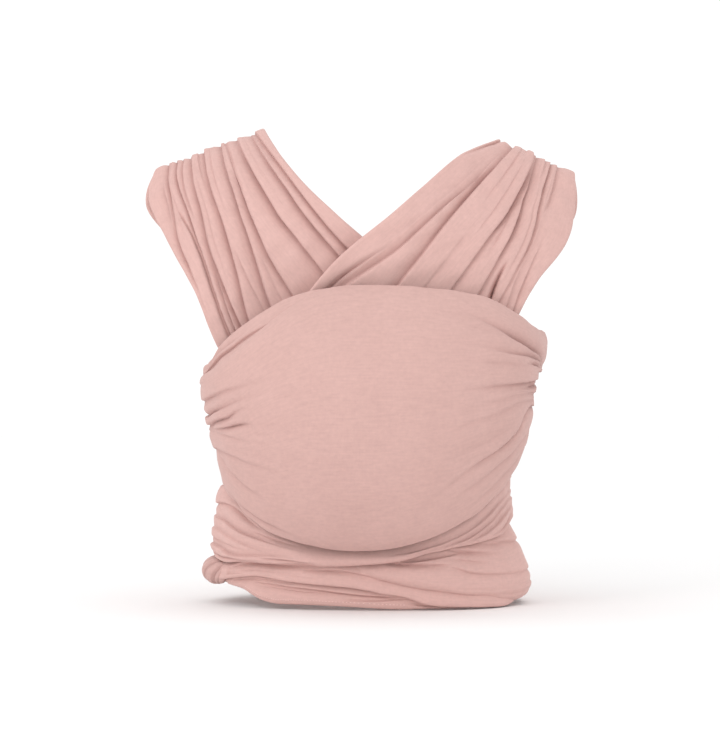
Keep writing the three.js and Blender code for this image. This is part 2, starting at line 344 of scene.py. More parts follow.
def routePiece(name, rows, spec, material):
    # A pass over a shoulder: rows hold the outer edge, the inner edge and the crown.
    places = np.concatenate([np.linspace(*span) for span in spec["rowsAt"]])

    def at(place, across):
        row = smoothRows(rows, np.clip(place, 0, len(rows) - 1))
        across = across[..., None]
        return row[..., 0:3] * (1 - across) + row[..., 3:6] * across, row[..., 6]

    edges = smoothRows(rows, places)
    width = np.linalg.norm(edges[:, 3:6] - edges[:, 0:3], axis=-1)
    roll = spec["roll"]
    lateral, depth, face = crossSection(width, roll, tucksOf(width, spec, roll), spec["columns"])
    place = places[:, None] + 0 * lateral
    scale = width[:, None]
    across = gatherColumns(place, lateral / scale, scale, spec["creases"])
    fold, lean, paintedCreaseShade = layeredFold(place, across, scale, spec["creases"], face)
    point, crown = at(place, across)
    ahead = at(place + 0.06, across)[0] - at(place - 0.06, across)[0]
    sideways = unit(at(place, across + 0.01)[0] - at(place, across - 0.01)[0])
    normal = unit(np.cross(ahead, sideways)) * spec["facing"]
    arch = crown * 4 * across * (1 - across)
    waviness = unevenness(place * 60, across * scale, spec["seed"], spec["uneven"])
    lift = spec["lift"] + arch + fold + waviness - depth
    point = point + normal * lift[..., None] + sideways * lean[..., None]
    if spec["facing"] < 0:
        point, paintedCreaseShade = point[:, ::-1], paintedCreaseShade[:, ::-1]
    uvs, flat = clothUvs(point)
    piece = makeMesh(name, point, gridFaces(*lateral.shape), uvs, paintedCreaseShade)
    crispEnds(piece.data, *lateral.shape)
    return finishCloth(piece, material), flat


def fineCreases(seed, count, along, across, length, depth, drift=0.0):
    # short shallow creases scattered over a pass, each a gentle S
    rng = np.random.default_rng(seed)
    made = []
    for _ in range(count):
        start = rng.uniform(along[0], along[1])
        run = rng.uniform(0.5, 1) * length
        side = rng.choice([-1, 1])
        middle = rng.uniform(across[0], across[1])
        slant = rng.normal(0, 1) * drift
        deepest = rng.uniform(0.4, 1) * depth
        made.append([side, rng.uniform(0.8, 1.5), rng.uniform(2.5, 5),
                     (start, middle, 0), (start + run / 2, middle + slant, deepest),
                     (start + run, middle + 1.6 * slant, 0)])
    return made


def foldBetween(creases, first, second, share, depth, start, end):
    # a fine fold that keeps its place between two of a pass's creases
    rows = np.linspace(start, end, 7)
    lines = [np.asarray(creases[k][3:], float) for k in (first, second)]
    here, there = (smoothLine(rows, line[:, 0], line[:, 1]) for line in lines)
    places = here * (1 - share) + there * share
    swell = depth * np.sin(np.linspace(0, np.pi, 7)) ** 0.5
    return [1, 0.8, 2.6, *zip(rows, places, swell)]


# the knit of every pass, colours in linear light
jersey = {
    "colour": (0.60, 0.378, 0.344),
    "light": (0.65, 0.417, 0.381),
    # the valley colour is painted shade for the creases
    "valley": (0.34, 0.185, 0.17),
    "rib": 0.0009,          # metres from rib to rib
    "stitchRow": 0.0012,
    "mottleScale": 260,
    "patchScale": 22,
    "fuzzScale": 1500,
    "streakScale": (70, 620, 1),
    "paintedShadeShare": 0.6,     # how much of the painted shade colour the deepest fold takes
    "bumpStrength": 0.35,
    "bumpDepth": 0.00025,
}


def jerseyMaterial(name, paintedLightLevel=1.0, ribs=1.0, sheen=0.22):
    # knit: ribs along the cloth, loops across them, a soft mottle and painted shade in the valleys;
    # all colours scaled by a painted light level
    material = bpy.data.materials.new(name)
    material.use_nodes = True
    nodes, links = material.node_tree.nodes, material.node_tree.links
    shader = nodes["Principled BSDF"]

    def maths(kind, a, b):
        # one math node, each input wired or set
        node = nodes.new("ShaderNodeMath")
        node.operation = kind
        for socket, value in zip(node.inputs, (a, b)):
            if isinstance(value, bpy.types.NodeSocket):
                links.new(value, socket)
            elif value is not None:
                socket.default_value = value
        return node.outputs[0]

    def mix(factor, a, b, kind="MIX"):
        # one colour mix node, a where the factor is 0 and b where it is 1
        node = nodes.new("ShaderNodeMix")
        node.data_type = "RGBA"
        node.blend_type = kind
        for socket, value in ((node.inputs[0], factor), (node.inputs[6], a), (node.inputs[7], b)):
            if isinstance(value, bpy.types.NodeSocket):
                links.new(value, socket)
            elif isinstance(value, float):
                socket.default_value = value
            else:
                socket.default_value = (*value, 1)
        return node.outputs[2]

    place = nodes.new("ShaderNodeTexCoord")
    cloth = nodes.new("ShaderNodeUVMap")
    cloth.uv_map = "cloth"
    split = nodes.new("ShaderNodeSeparateXYZ")
    links.new(cloth.outputs[0], split.inputs[0])

    mottle = nodes.new("ShaderNodeTexNoise")
    mottle.inputs["Scale"].default_value = jersey["mottleScale"]
    mottle.inputs["Detail"].default_value = 5
    mottle.inputs["Roughness"].default_value = 0.65
    links.new(place.outputs["Object"], mottle.inputs["Vector"])
    patches = nodes.new("ShaderNodeTexNoise")
    patches.inputs["Scale"].default_value = jersey["patchScale"]
    patches.inputs["Detail"].default_value = 3
    links.new(place.outputs["Object"], patches.inputs["Vector"])
    fuzz = nodes.new("ShaderNodeTexNoise")
    fuzz.inputs["Scale"].default_value = jersey["fuzzScale"]
    fuzz.inputs["Detail"].default_value = 2
    links.new(place.outputs["Object"], fuzz.inputs["Vector"])

    stretched = nodes.new("ShaderNodeMapping")
    stretched.inputs["Scale"].default_value = jersey["streakScale"]
    links.new(cloth.outputs[0], stretched.inputs["Vector"])
    streaks = nodes.new("ShaderNodeTexNoise")
    streaks.inputs["Scale"].default_value = 1
    streaks.inputs["Detail"].default_value = 3
    links.new(stretched.outputs[0], streaks.inputs["Vector"])

    wobble = maths("MULTIPLY", mottle.outputs["Fac"], 0.9)
    ribPhase = maths("ADD", maths("MULTIPLY", split.outputs["Y"], math.tau / jersey["rib"]), wobble)
    rib = maths("SINE", ribPhase, None)
    rowPhase = maths("MULTIPLY", split.outputs["X"], math.tau / jersey["stitchRow"])
    loopPhase = maths("ADD", rowPhase, wobble)
    loop = maths("SINE", loopPhase, None)
    knit = maths("ADD", maths("MULTIPLY", rib, 0.5 * ribs), maths("MULTIPLY", loop, 0.25 * ribs))

    # painted light and shade: the level makes a lighter or darker copy of one jersey
    base = tuple(c * paintedLightLevel for c in jersey["colour"])
    pale = tuple(c * paintedLightLevel for c in jersey["light"])
    valley = tuple(c * paintedLightLevel for c in jersey["valley"])
    colour = mix(patches.outputs["Fac"], base, pale)
    speck = maths("MULTIPLY", mottle.outputs["Fac"], 0.2)
    speck = maths("ADD", speck, maths("MULTIPLY", streaks.outputs["Fac"], 0.16))
    speck = maths("ADD", speck, 0.82)
    colour = mix(1.0, colour, speck, "MULTIPLY")
    ribTint = maths("ADD", maths("MULTIPLY", knit, 0.035), 1.0)
    colour = mix(1.0, colour, ribTint, "MULTIPLY")
    # painted shade: the crease attribute mixes the valley colour in
    attribute = nodes.new("ShaderNodeAttribute")
    attribute.attribute_name = "paintedCreaseShade"
    shade = maths("MULTIPLY", attribute.outputs["Fac"], jersey["paintedShadeShare"])
    colour = mix(shade, colour, valley)
    links.new(colour, shader.inputs["Base Color"])

    height = maths("ADD", maths("MULTIPLY", knit, 0.5), maths("MULTIPLY", fuzz.outputs["Fac"], 0.9))
    bump = nodes.new("ShaderNodeBump")
    bump.inputs["Strength"].default_value = jersey["bumpStrength"]
    bump.inputs["Distance"].default_value = jersey["bumpDepth"]
    links.new(height, bump.inputs["Height"])
    links.new(bump.outputs["Normal"], shader.inputs["Normal"])
    rough = maths("ADD", maths("MULTIPLY", fuzz.outputs["Fac"], 0.12), 0.82)
    links.new(rough, shader.inputs["Roughness"])
    shader.inputs["Specular IOR Level"].default_value = 0.22
    shader.inputs["Sheen Weight"].default_value = sheen
    shader.inputs["Sheen Roughness"].default_value = 0.45
    shader.inputs["Sheen Tint"].default_value = (1.0, 0.86, 0.83, 1)
    return material


# one jersey, each copy painted lighter or darker for the light where it lies
panelJersey = jerseyMaterial("jersey over the pouch, painted darker", paintedLightLevel=0.94)
gatheredJersey = jerseyMaterial("jersey of the passes, painted lighter", paintedLightLevel=1.03)
waistJersey = jerseyMaterial("jersey of the waist bands, painted lighter", paintedLightLevel=1.04)
knotJersey = jerseyMaterial("jersey of the knots, painted darker", paintedLightLevel=0.95)
tailJersey = jerseyMaterial("jersey of the loose tails, painted darker", paintedLightLevel=0.97)


threadLook = {
    "shade": (0.70, 0.45, 0.41),
    "light": (0.84, 0.60, 0.56),
    "plyScale": 900,
}


def threadMaterial():
    # overlock thread: two twisted plies along each stitch and a soft sheen
    material = bpy.data.materials.new("overlock thread")
    material.use_nodes = True
    nodes, links = material.node_tree.nodes, material.node_tree.links
    shader = nodes["Principled BSDF"]
    place = nodes.new("ShaderNodeTexCoord")
    plies = nodes.new("ShaderNodeTexWave")
    plies.inputs["Scale"].default_value = threadLook["plyScale"]
    plies.inputs["Distortion"].default_value = 1.5
    links.new(place.outputs["Object"], plies.inputs["Vector"])
    blend = nodes.new("ShaderNodeMix")
    blend.data_type = "RGBA"
    blend.inputs[6].default_value = (*threadLook["shade"], 1)
    blend.inputs[7].default_value = (*threadLook["light"], 1)
    links.new(plies.outputs["Fac"], blend.inputs[0])
    links.new(blend.outputs[2], shader.inputs["Base Color"])
    bump = nodes.new("ShaderNodeBump")
    bump.inputs["Strength"].default_value = 0.4
    bump.inputs["Distance"].default_value = 0.0001
    links.new(plies.outputs["Fac"], bump.inputs["Height"])
    links.new(bump.outputs["Normal"], shader.inputs["Normal"])
    shader.inputs["Roughness"].default_value = 0.6
    shader.inputs["Sheen Weight"].default_value = 0.3
    return material


thread = threadMaterial()
print("materials made")


def sideFoot(angle, low, high, lift):
    # both edges of a pass where it reaches the other side of the ribs
    low = ring(np.array(float(angle)), np.array(float(low)), lift)
    high = ring(np.array(float(angle)), np.array(float(high)), lift)
    return [*low, *high, 0]


# route rows hold the outer edge, the inner edge and the crown, from the back over the
# shoulder and down to the other hip
leftPass = {
    "route": [
        sideFoot(120, 156, 262, 5), sideFoot(138, 156, 264, 5), [-30, 78, 190, 62, 83, 286, 2],
        [-100, 61, 254, 6, 86, 330, 2], [-158, 58, 320, -36, 83, 372, 3],
        [-207, 40, 374, -72, 56, 418, 4], [-197, 14, 409, -92, 15, 448, 1.5],
        [-201, -18, 380, -76, -43, 421, 4], [-180, -46, 337, -52, -75, 391, 4],
        [-155, -67, 292, -22, -88, 362, 3], [-134, -78, 243, 26, -89, 318, 3],
        [-102, -65, 190, 72, -78, 258, 2], [-58, -67, 136, 108, -66, 212, 2],
        [4, -72, 92, 120, -42, 176, 2], [64, -62, 60, 116, -10, 142, 1],
        [106, -32, 40, 114, 24, 118, 0],
    ],
    "rowsAt": [(0, 5.4, 60), (5.45, 9.9, 110), (10, 15, 30)], "columns": (170, 7, 18),
    "roll": 2.4, "tuck": (110, 105), "lift": 3.0, "facing": 1, "seed": 11, "uneven": 0.5,
    # side, wall, slope, then (row, place across, depth) from the back over the ridge
    "creases": [
        [1, 1.1, 4, (0, .08, 1.5), (1.5, .08, 3), (3, .10, 4), (5, .12, 3), (6, .13, 3),
         (6.5, .15, 4), (7, .172, 5), (7.5, .135, 4), (8, .075, 4), (8.5, .05, 4), (9, .03, 2),
         (10, .02, 0)],
        [1, 1.2, 5, (6.4, .11, 0), (7, .13, 3), (7.5, .105, 3), (8, .03, 0)],
        [-1, 0.9, 3, (7.3, .18, 0), (7.7, .17, 3), (8, .168, 4), (8.5, .142, 5), (9, .105, 5),
         (9.6, .085, 4), (11, .07, 3)],
        [1, 0.9, 3.5, (0, .15, 1.5), (1.2, .15, 3), (2.5, .17, 4), (5, .20, 4), (6, .205, 4),
         (6.5, .225, 4), (7, .243, 4.5), (7.5, .235, 5), (8, .20, 5.5), (8.5, .165, 5.5),
         (9, .125, 5), (9.9, .095, 5), (12, .10, 3)],
        [1, 1.0, 3, (5, .24, 2), (6, .26, 3), (7, .28, 3), (7.5, .26, 3), (8.1, .215, 0)],
        [1, 0.8, 3, (8.1, .235, 0), (8.7, .19, 4), (9, .165, 5), (9.5, .14, 5.5), (9.9, .128, 5),
         (12, .13, 3)],
        [1, 1.4, 6, (0, .31, 1.5), (1.2, .31, 4), (2.5, .28, 4), (5, .31, 4), (6, .33, 3.5),
         (7, .352, 4), (7.5, .325, 5), (8, .272, 5), (8.5, .22, 6), (9, .187, 7), (9.9, .163, 7),
         (12, .19, 4)],
        [-1, 1.1, 5, (5.6, .39, 2), (6.3, .405, 2.5), (7, .425, 2), (7.6, .41, 0)],
        [1, 1.2, 6, (0, .44, 1.5), (1.2, .44, 4), (2.5, .38, 4), (5, .42, 4), (6, .445, 4),
         (7, .462, 4), (7.5, .435, 5), (8, .40, 5.5), (8.5, .352, 6.5), (9, .298, 6.5),
         (9.8, .217, 5), (12, .27, 4)],
        [1, 1.2, 5, (8.4, .38, 0), (9, .338, 2.5), (9.8, .31, 3), (12, .34, 3)],
        [1, 1.6, 5, (5.7, .52, 0), (6.1, .528, 2), (6.6, .54, 0)],
        [1, 1.6, 7, (0, .52, 1.5), (1.2, .52, 4), (2.5, .52, 4), (5, .575, 4), (6, .595, 4),
         (6.5, .605, 4), (7, .60, 4.5), (7.5, .572, 6), (8, .527, 7), (8.5, .483, 7),
         (9, .428, 6.5), (9.8, .352, 5), (12, .41, 4)],
        [-1, 1.2, 4, (5.2, .61, 2), (6, .64, 2.5), (7, .655, 3), (7.5, .628, 5), (8, .588, 0)],
        [1, 1.1, 7, (6.8, .655, 0), (7.5, .627, 6), (8, .593, 7), (8.5, .555, 7), (9, .513, 6),
         (9.8, .482, 4), (12, .50, 3)],
        [1, 1.6, 4, (8.6, .50, 0), (9.2, .455, 3), (9.8, .42, 2), (10.6, .42, 0)],
        [1, 1.2, 9, (0, .69, 1.5), (1.2, .69, 4), (2.5, .68, 4), (5, .735, 4), (6, .745, 3),
         (6.5, .757, 3.5), (7, .766, 5), (7.5, .757, 6.5), (8, .742, 7), (8.5, .72, 7), (9, .71, 5),
         (9.7, .69, 4), (12, .66, 4)],
        [1, 1.3, 8, (0, .79, 1.5), (1.2, .80, 4), (2.5, .82, 3), (5, .86, 3), (6, .87, 3),
         (7, .888, 4), (7.5, .887, 5), (8, .878, 6), (8.5, .857, 6.5), (9, .84, 6.5), (9.6, .82, 5),
         (12, .80, 4)],
        [1, 1.0, 5, (5, .89, 2), (6, .905, 3), (6.5, .93, 3.5), (7, .946, 4), (8, .939, 4.5),
         (8.5, .924, 5), (9, .905, 5), (9.6, .885, 5), (12, .88, 3)],
    ] + fineCreases(3, 16, (0.5, 5), (0.05, 0.95), 1.6, 3.0, 0.015),
}

leftPass["creases"] += [foldBetween(leftPass["creases"], *fold) for fold in (
    # crease, next crease, share of the way, depth, first row, last row
    (1, 3, 0.5, 1.8, 5.5, 8.2), (3, 4, 0.5, 1.4, 5.4, 7.6), (6, 8, 0.35, 1.6, 6.2, 9.6),
    (6, 8, 0.72, 1.3, 5.6, 8.6), (8, 11, 0.35, 1.6, 5.4, 8.4), (8, 11, 0.68, 1.4, 6.8, 9.8),
    (11, 13, 0.5, 1.3, 5.4, 7.8), (13, 15, 0.4, 1.2, 6.0, 8.6), (13, 15, 0.75, 1.6, 5.5, 7.4),
    (15, 16, 0.45, 1.5, 5.4, 8.8), (16, 17, 0.5, 1.6, 5.3, 8.2),
)]

rightPass = {
    "route": [
        sideFoot(-120, 138, 246, 12), sideFoot(-138, 140, 250, 13),
        [38, 100, 190, -54, 104, 286, 3], [108, 90, 254, 2, 109, 330, 3],
        [164, 76, 320, 44, 99, 372, 3], [205, 46, 366, 92, 62, 410, 4],
        [203, 14, 405, 128, 15, 438, 2], [201, -16, 373, 92, -41, 421, 4.5],
        [190, -46, 337, 58, -78, 391, 4], [160, -72, 299, 26, -105, 362, 4],
        [138, -84, 258, -26, -112, 318, 4], [112, -88, 200, -74, -103, 258, 2],
        [66, -95, 136, -108, -89, 212, 2], [2, -92, 90, -122, -60, 168, 3],
        [-60, -80, 60, -119, -20, 134, 2], [-104, -46, 40, -115, 22, 112, 0],
    ],
    "rowsAt": [(0, 5.4, 60), (5.45, 10.3, 110), (10.4, 15, 30)], "columns": (170, 7, 18),
    "roll": 2.4, "tuck": (110, 105), "lift": 3.0, "facing": -1, "seed": 12, "uneven": 0.6,
    "creases": [
        [1, 1.4, 4, (7.8, .19, 0), (8.5, .12, 2), (9, .077, 3), (9.7, .042, 3), (11, .04, 2)],
        [1, 1.8, 6, (0, .13, 1.5), (1.2, .13, 3), (2.5, .16, 3), (5, .21, 2), (6.5, .225, 3),
         (7.2, .222, 3), (7.7, .225, 1), (8.2, .19, 2), (9, .127, 2.5), (9.7, .083, 2.5),
         (12, .09, 2)],
        [1, 1.0, 4, (0, .30, 1.5), (1.2, .29, 3), (2.5, .25, 4), (5, .30, 4), (6, .315, 3),
         (6.5, .31, 4), (7, .303, 4.5), (7.5, .28, 4), (8, .24, 4), (8.5, .19, 3.5), (9, .155, 2.5),
         (10, .13, 2)],
        [-1, 0.9, 4, (8.8, .245, 0), (9.2, .213, 6), (9.6, .178, 9), (11, .15, 7), (12, .14, 3)],
        [1, 1.4, 5, (5, .36, 2), (6, .385, 2.5), (6.5, .362, 2), (7.3, .34, 0)],
        [1, 1.3, 6, (0, .39, 1.5), (1.2, .40, 4), (2.5, .42, 4), (5, .465, 4), (5.6, .475, 4),
         (6, .50, 3.5), (6.5, .462, 4), (7, .418, 5.5), (7.5, .398, 6), (8, .363, 6),
         (8.5, .322, 5), (9, .287, 3.5), (9.7, .257, 3), (12, .26, 3)],
        [1, 1.1, 6.5, (5, .52, 2), (6, .54, 2.5), (6.5, .49, 3), (7, .463, 6), (7.5, .457, 7),
         (8, .447, 6.5), (8.5, .437, 4), (9, .42, 3.5), (9.7, .40, 2.5), (12, .40, 2)],
        [-1, 1.5, 5, (7.6, .46, 0), (8, .425, 2.5), (8.5, .392, 2.5), (9.2, .34, 0)],
        [-1, 1.2, 5, (5.3, .62, 1.5), (6, .63, 2), (6.6, .60, 0)],
        [1, 2.2, 7, (8.2, .57, 0), (9, .545, 1.2), (9.9, .52, 1.2), (11, .50, 0)],
        [-1, 1.3, 7, (0, .78, 1.5), (1.2, .77, 3), (2.5, .74, 4), (5, .775, 4), (6, .787, 4),
         (6.5, .747, 3.5), (7, .717, 4), (7.4, .718, 7), (7.8, .722, 7), (8.5, .712, 5.5),
         (9, .696, 5), (9.5, .668, 4.5), (10, .65, 4), (12, .62, 3)],
        [-1, 1.2, 8, (6.3, .80, 0), (7, .767, 2.5), (7.5, .763, 3), (7.9, .782, 4), (9, .798, 4.5),
         (9.6, .803, 4), (10, .84, 4.5), (10.4, .90, 4), (11.5, .92, 2)],
        [-1, 1.0, 3.5, (9.3, .84, 0), (9.7, .865, 2), (10.1, .902, 5), (10.4, .925, 5),
         (11, .95, 0)],
        [-1, 2.0, 6, (6.3, .85, 0), (7, .822, 1.5), (8, .84, 1.6), (9, .865, 1.5), (9.8, .89, 0)],
        [1, 1.3, 4, (0, .91, 1.5), (1.2, .91, 2), (2.5, .90, 3), (4.5, .93, 3), (5.6, .94, 3),
         (6.4, .95, 3), (7.2, .975, 0)],
        [1, 1.4, 5, (0, .62, 1.5), (1.2, .61, 3), (2.5, .59, 3), (4.5, .58, 0)],
        [-1, 1.3, 4, (0, .48, 1.5), (1.2, .49, 4), (2.5, .51, 3), (4.2, .54, 0)],
    ] + fineCreases(5, 16, (0.5, 5), (0.05, 0.95), 1.6, 3.0, 0.015),
}

rightPass["creases"] += [foldBetween(rightPass["creases"], *fold) for fold in (
    (0, 1, 0.5, 1.2, 8.0, 9.8), (1, 2, 0.4, 1.5, 5.6, 8.4), (2, 5, 0.3, 1.4, 6.6, 9.4),
    (2, 5, 0.66, 1.5, 5.5, 7.6), (5, 6, 0.5, 1.5, 5.6, 8.6), (6, 10, 0.3, 1.2, 6.4, 9.0),
    (6, 10, 0.62, 1.3, 5.5, 8.0), (10, 13, 0.5, 1.0, 5.8, 8.6),
)]

for name, data, nodes in (("left_pass", leftPass, "left"), ("right_pass", rightPass, "right")):
    piece, flat = routePiece(name, data["route"], data, gatheredJersey)
    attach(piece, "wrap")
    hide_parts(f"{nodes}_back_cross", f"{nodes}_shoulder_pass", f"{nodes}_chest_cross")
    print(name, "cloth", [round(x, 3) for x in flat])


# rows hold an angle, the lower edge, the upper edge and the lift
panel = {
    "rows": [
        [-127, 140.5, 245, 9.5], [-120, 139.5, 243.5, 12], [-102, 122, 230, 17],
        [-87, 113, 218, 20], [-75, 111, 215, 21], [-64, 109, 214, 23], [-52, 103, 217, 25],
        [-46, 97, 221, 26], [-40, 88, 226, 28], [-35, 80, 233, 29], [-30, 72, 243, 30],
        [-26, 68, 254, 31], [-22, 65, 265, 32], [-18, 62, 276, 33], [-14, 60, 286, 33],
        [-9, 57, 294, 34], [0, 55, 298, 34], [8, 59, 297, 34], [15, 65, 295, 34], [24, 77, 292, 33],
        [32, 90, 288, 33], [41, 106, 278, 32], [50, 122, 267, 30.5], [60, 137, 259.5, 30],
        [68, 146, 258, 30.5], [77, 153, 257, 31], [87, 158, 257, 31], [102, 158, 258, 22],
        [120, 157.5, 259.5, 5.5], [127, 158.5, 260.5, 3.5],
    ],
    "rowsAt": [(-127, -61, 40), (-60, -20, 75), (-19.4, 13.4, 30), (14, 64, 88), (65.5, 127, 38)],
    "columns": (132, 8, 12),
    "roll": 1.7, "tuck": 30, "seed": 21, "uneven": 0.35, "ease": (3, 10, 3.5, 12),
    "creases": [
        # left side, from the top down
        [1, 1.6, 6, (-122, 205, 1), (-112, 205, 3), (-90, 193, 3), (-70, 191, 3), (-52, 192, 3),
         (-46, 195, 3), (-40, 198, 2.5), (-34, 202, 2), (-27, 206, 1), (-20, 211, 0)],
        [-1, 1.3, 4, (-122, 190, 1), (-112, 190, 4), (-90, 179, 5), (-70, 178, 5), (-50, 178, 5),
         (-45, 181, 5), (-40, 184, 3), (-35, 188, 2), (-28, 194, 1.4), (-18, 201, 0)],
        [1, 1.3, 4, (-122, 180, 1), (-112, 180, 3), (-90, 171, 4), (-70, 170, 4), (-50, 170, 3.5),
         (-45, 173, 4), (-40, 175, 4.5), (-36, 177, 3.5), (-31, 183, 1.5), (-25, 187, 0)],
        [1, 1.2, 3.5, (-122, 170, 1), (-112, 170, 2), (-80, 162, 2), (-48, 166, 2), (-40, 167, 3),
         (-35, 169, 4.5), (-31, 171, 4), (-25, 171, 0)],
        [1, 1.8, 7, (-122, 152, 1), (-112, 152, 2), (-90, 142, 2), (-70, 144, 2), (-52, 147, 2.4),
         (-45, 145, 2.2), (-40, 143, 2.2), (-33, 138, 1.8), (-25, 132, 1), (-15, 125, 0)],
        [1, 1.5, 6, (-122, 222, 1), (-112, 222, 3), (-90, 207, 2), (-70, 206, 2), (-55, 207, 1),
         (-45, 210, 0)],
        [1, 1.4, 5, (-53, 165, 0), (-47, 163.5, 1.6), (-40, 161, 1.9), (-33, 157.5, 1.4),
         (-25, 154, 0)],
        [1, 1.8, 7, (-55, 147, 0), (-48, 138, 1.8), (-42, 126.5, 2.4), (-34, 113, 2),
         (-25, 103, 0)],
        [1, 1.7, 6, (-53, 111, 0), (-46, 103, 2.6), (-39, 94.5, 3.6), (-32, 84.5, 3.8),
         (-25, 76, 2.6), (-17, 67, 0)],
        [-1, 2.2, 8, (-44, 150, 0), (-34, 146, 1), (-22, 140, 0)],
        # right side, from the top down
        [-1, 3.4, 5, (14, 282, 0), (25, 270, 1.2), (30, 263, 2.5), (35, 256, 4), (40, 250, 5.5),
         (45, 245, 6.5), (50, 241, 7), (58, 236.5, 6.5), (66, 231, 5), (76, 226, 3), (90, 224, 2),
         (112, 226, 3), (122, 226, 1)],
        [-1, 1.2, 5, (20, 246, 0), (28, 240, 1.2), (35, 236, 2.5), (45, 233, 4), (52, 230.5, 5),
         (60, 227.5, 5), (70, 223.5, 3.5), (90, 221, 2.5), (112, 221, 3), (122, 221, 1)],
        [-1, 1.0, 4, (40, 226, 0), (48, 225.5, 2), (54, 223.5, 5.5), (60, 222, 6.5),
         (70, 219.5, 4), (90, 217.5, 2.5), (112, 217, 4), (122, 217, 1)],
        [1, 1.6, 58, (52, 218.5, 0), (60, 218, 3), (68, 217.5, 7), (80, 216.5, 9.5), (95, 216, 10),
         (112, 214, 3), (122, 214, 1)],
        [1, 1.8, 6, (18, 231, 0), (28, 227, 1.3), (38, 225, 1.3), (50, 222, 0)],
        [1, 1.3, 5, (16, 203, 0), (24, 204, 1.2), (30, 206, 2.4), (38, 207.5, 3.4), (50, 209, 4.4),
         (60, 211, 5), (74, 213, 6), (90, 213, 7), (112, 211, 6), (122, 211, 1)],
        [-1, 1.5, 5, (18, 199, 0), (30, 201, 1), (40, 203, 1.4), (46, 204, 3), (52, 204.5, 5),
         (70, 206, 6.5), (90, 206, 7.5), (112, 203, 6), (122, 203, 1)],
        [1, 2.0, 7, (18, 182, 0), (28, 190, 1), (38, 197, 1.2), (47, 199, 2.8), (60, 198, 4),
         (90, 197, 6.4), (112, 196, 4), (122, 196, 1)],
        [1, 2.2, 8, (14, 163, 0), (22, 172, 1), (32, 182, 1.5), (41, 190, 1.8), (50, 192, 2.5),
         (112, 189, 3), (122, 189, 1)],
        [1, 1.4, 6, (14, 104, 0), (20, 120, 1), (26, 134, 1.8), (31, 143, 3.4), (35, 150, 5),
         (40, 159, 6.5), (43, 168, 6.5), (45, 177, 6.5), (48, 183, 5.5), (60, 186, 5),
         (90, 187, 5.5), (112, 183, 4), (122, 183, 1)],
        [1, 2.0, 8, (20, 100, 0), (27, 116, 1.3), (34, 129, 2), (41, 141, 2.2), (50, 157, 2.2),
         (60, 170, 3), (112, 172, 3), (122, 172, 1)],
        [-1, 2.4, 8, (12, 130, 0), (22, 146, 1), (32, 160, 1.4), (40, 172, 0)],
        [1, 2.0, 7, (25, 92, 0), (34, 110, 1.6), (43, 128, 1.8), (53, 143, 2), (70, 158, 3),
         (112, 165, 3), (122, 165, 1)],
        [-1, 2.6, 8, (16, 262, 0), (26, 258, 1), (36, 250, 1), (44, 240, 0)],
        [1, 2.6, 9, (10, 274, 0), (20, 270, 0.9), (32, 262, 0)],
        [-1, 2.6, 9, (12, 216, 0), (24, 217, 0.8), (40, 218, 0)],
    ] + fineCreases(7, 10, (-50, -20), (150, 215), 16, 0.7, 4)
      + fineCreases(8, 14, (14, 46), (130, 255), 14, 0.7, 3),
}

piece, flat = bodyPiece("front_panel_cloth", panel["rows"], panel, panelJersey, pouch)
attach(piece, "wrap")
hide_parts("front_panel", "left_side_turn", "right_side_turn")
print("front_panel_cloth", [round(x, 3) for x in flat])

topFold = {
    "rows": [
        [-62, 200, 211, 16], [-58, 198, 220, 18.5], [-56, 198, 223, 19.5], [-50, 199, 227, 20.5],
        [-46, 201, 232, 21.5], [-41, 206, 243, 23], [-36, 214, 253, 25], [-30, 226, 264, 26.5],
        [-25, 238, 274, 28], [-20, 250, 284, 29], [-14, 262, 291, 29.5], [-8, 270, 295, 29.5],
    ],
    "rowsAt": [(-62, -8, 110)], "columns": (60, 7, 12),
    "roll": 1.6, "tuck": 20, "seed": 22, "uneven": 0.3,
    "creases": [
        [1, 1.1, 4, (-60, 213, 0), (-50, 219, 2), (-45, 225, 3), (-40, 233, 3.5), (-35, 240, 3.5),
         (-30, 249, 3), (-25, 257, 2), (-18, 268, 0)],
        [-1, 1.3, 4, (-56, 216, 0), (-48, 225, 1.5), (-42, 235, 2), (-36, 244, 2), (-28, 257, 0)],
    ],
}
piece, flat = bodyPiece(
    "panel_top_fold_cloth", topFold["rows"], topFold, panelJersey, pouch)
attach(piece, "wrap")
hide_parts("panel_top_fold")
print("front panel made")

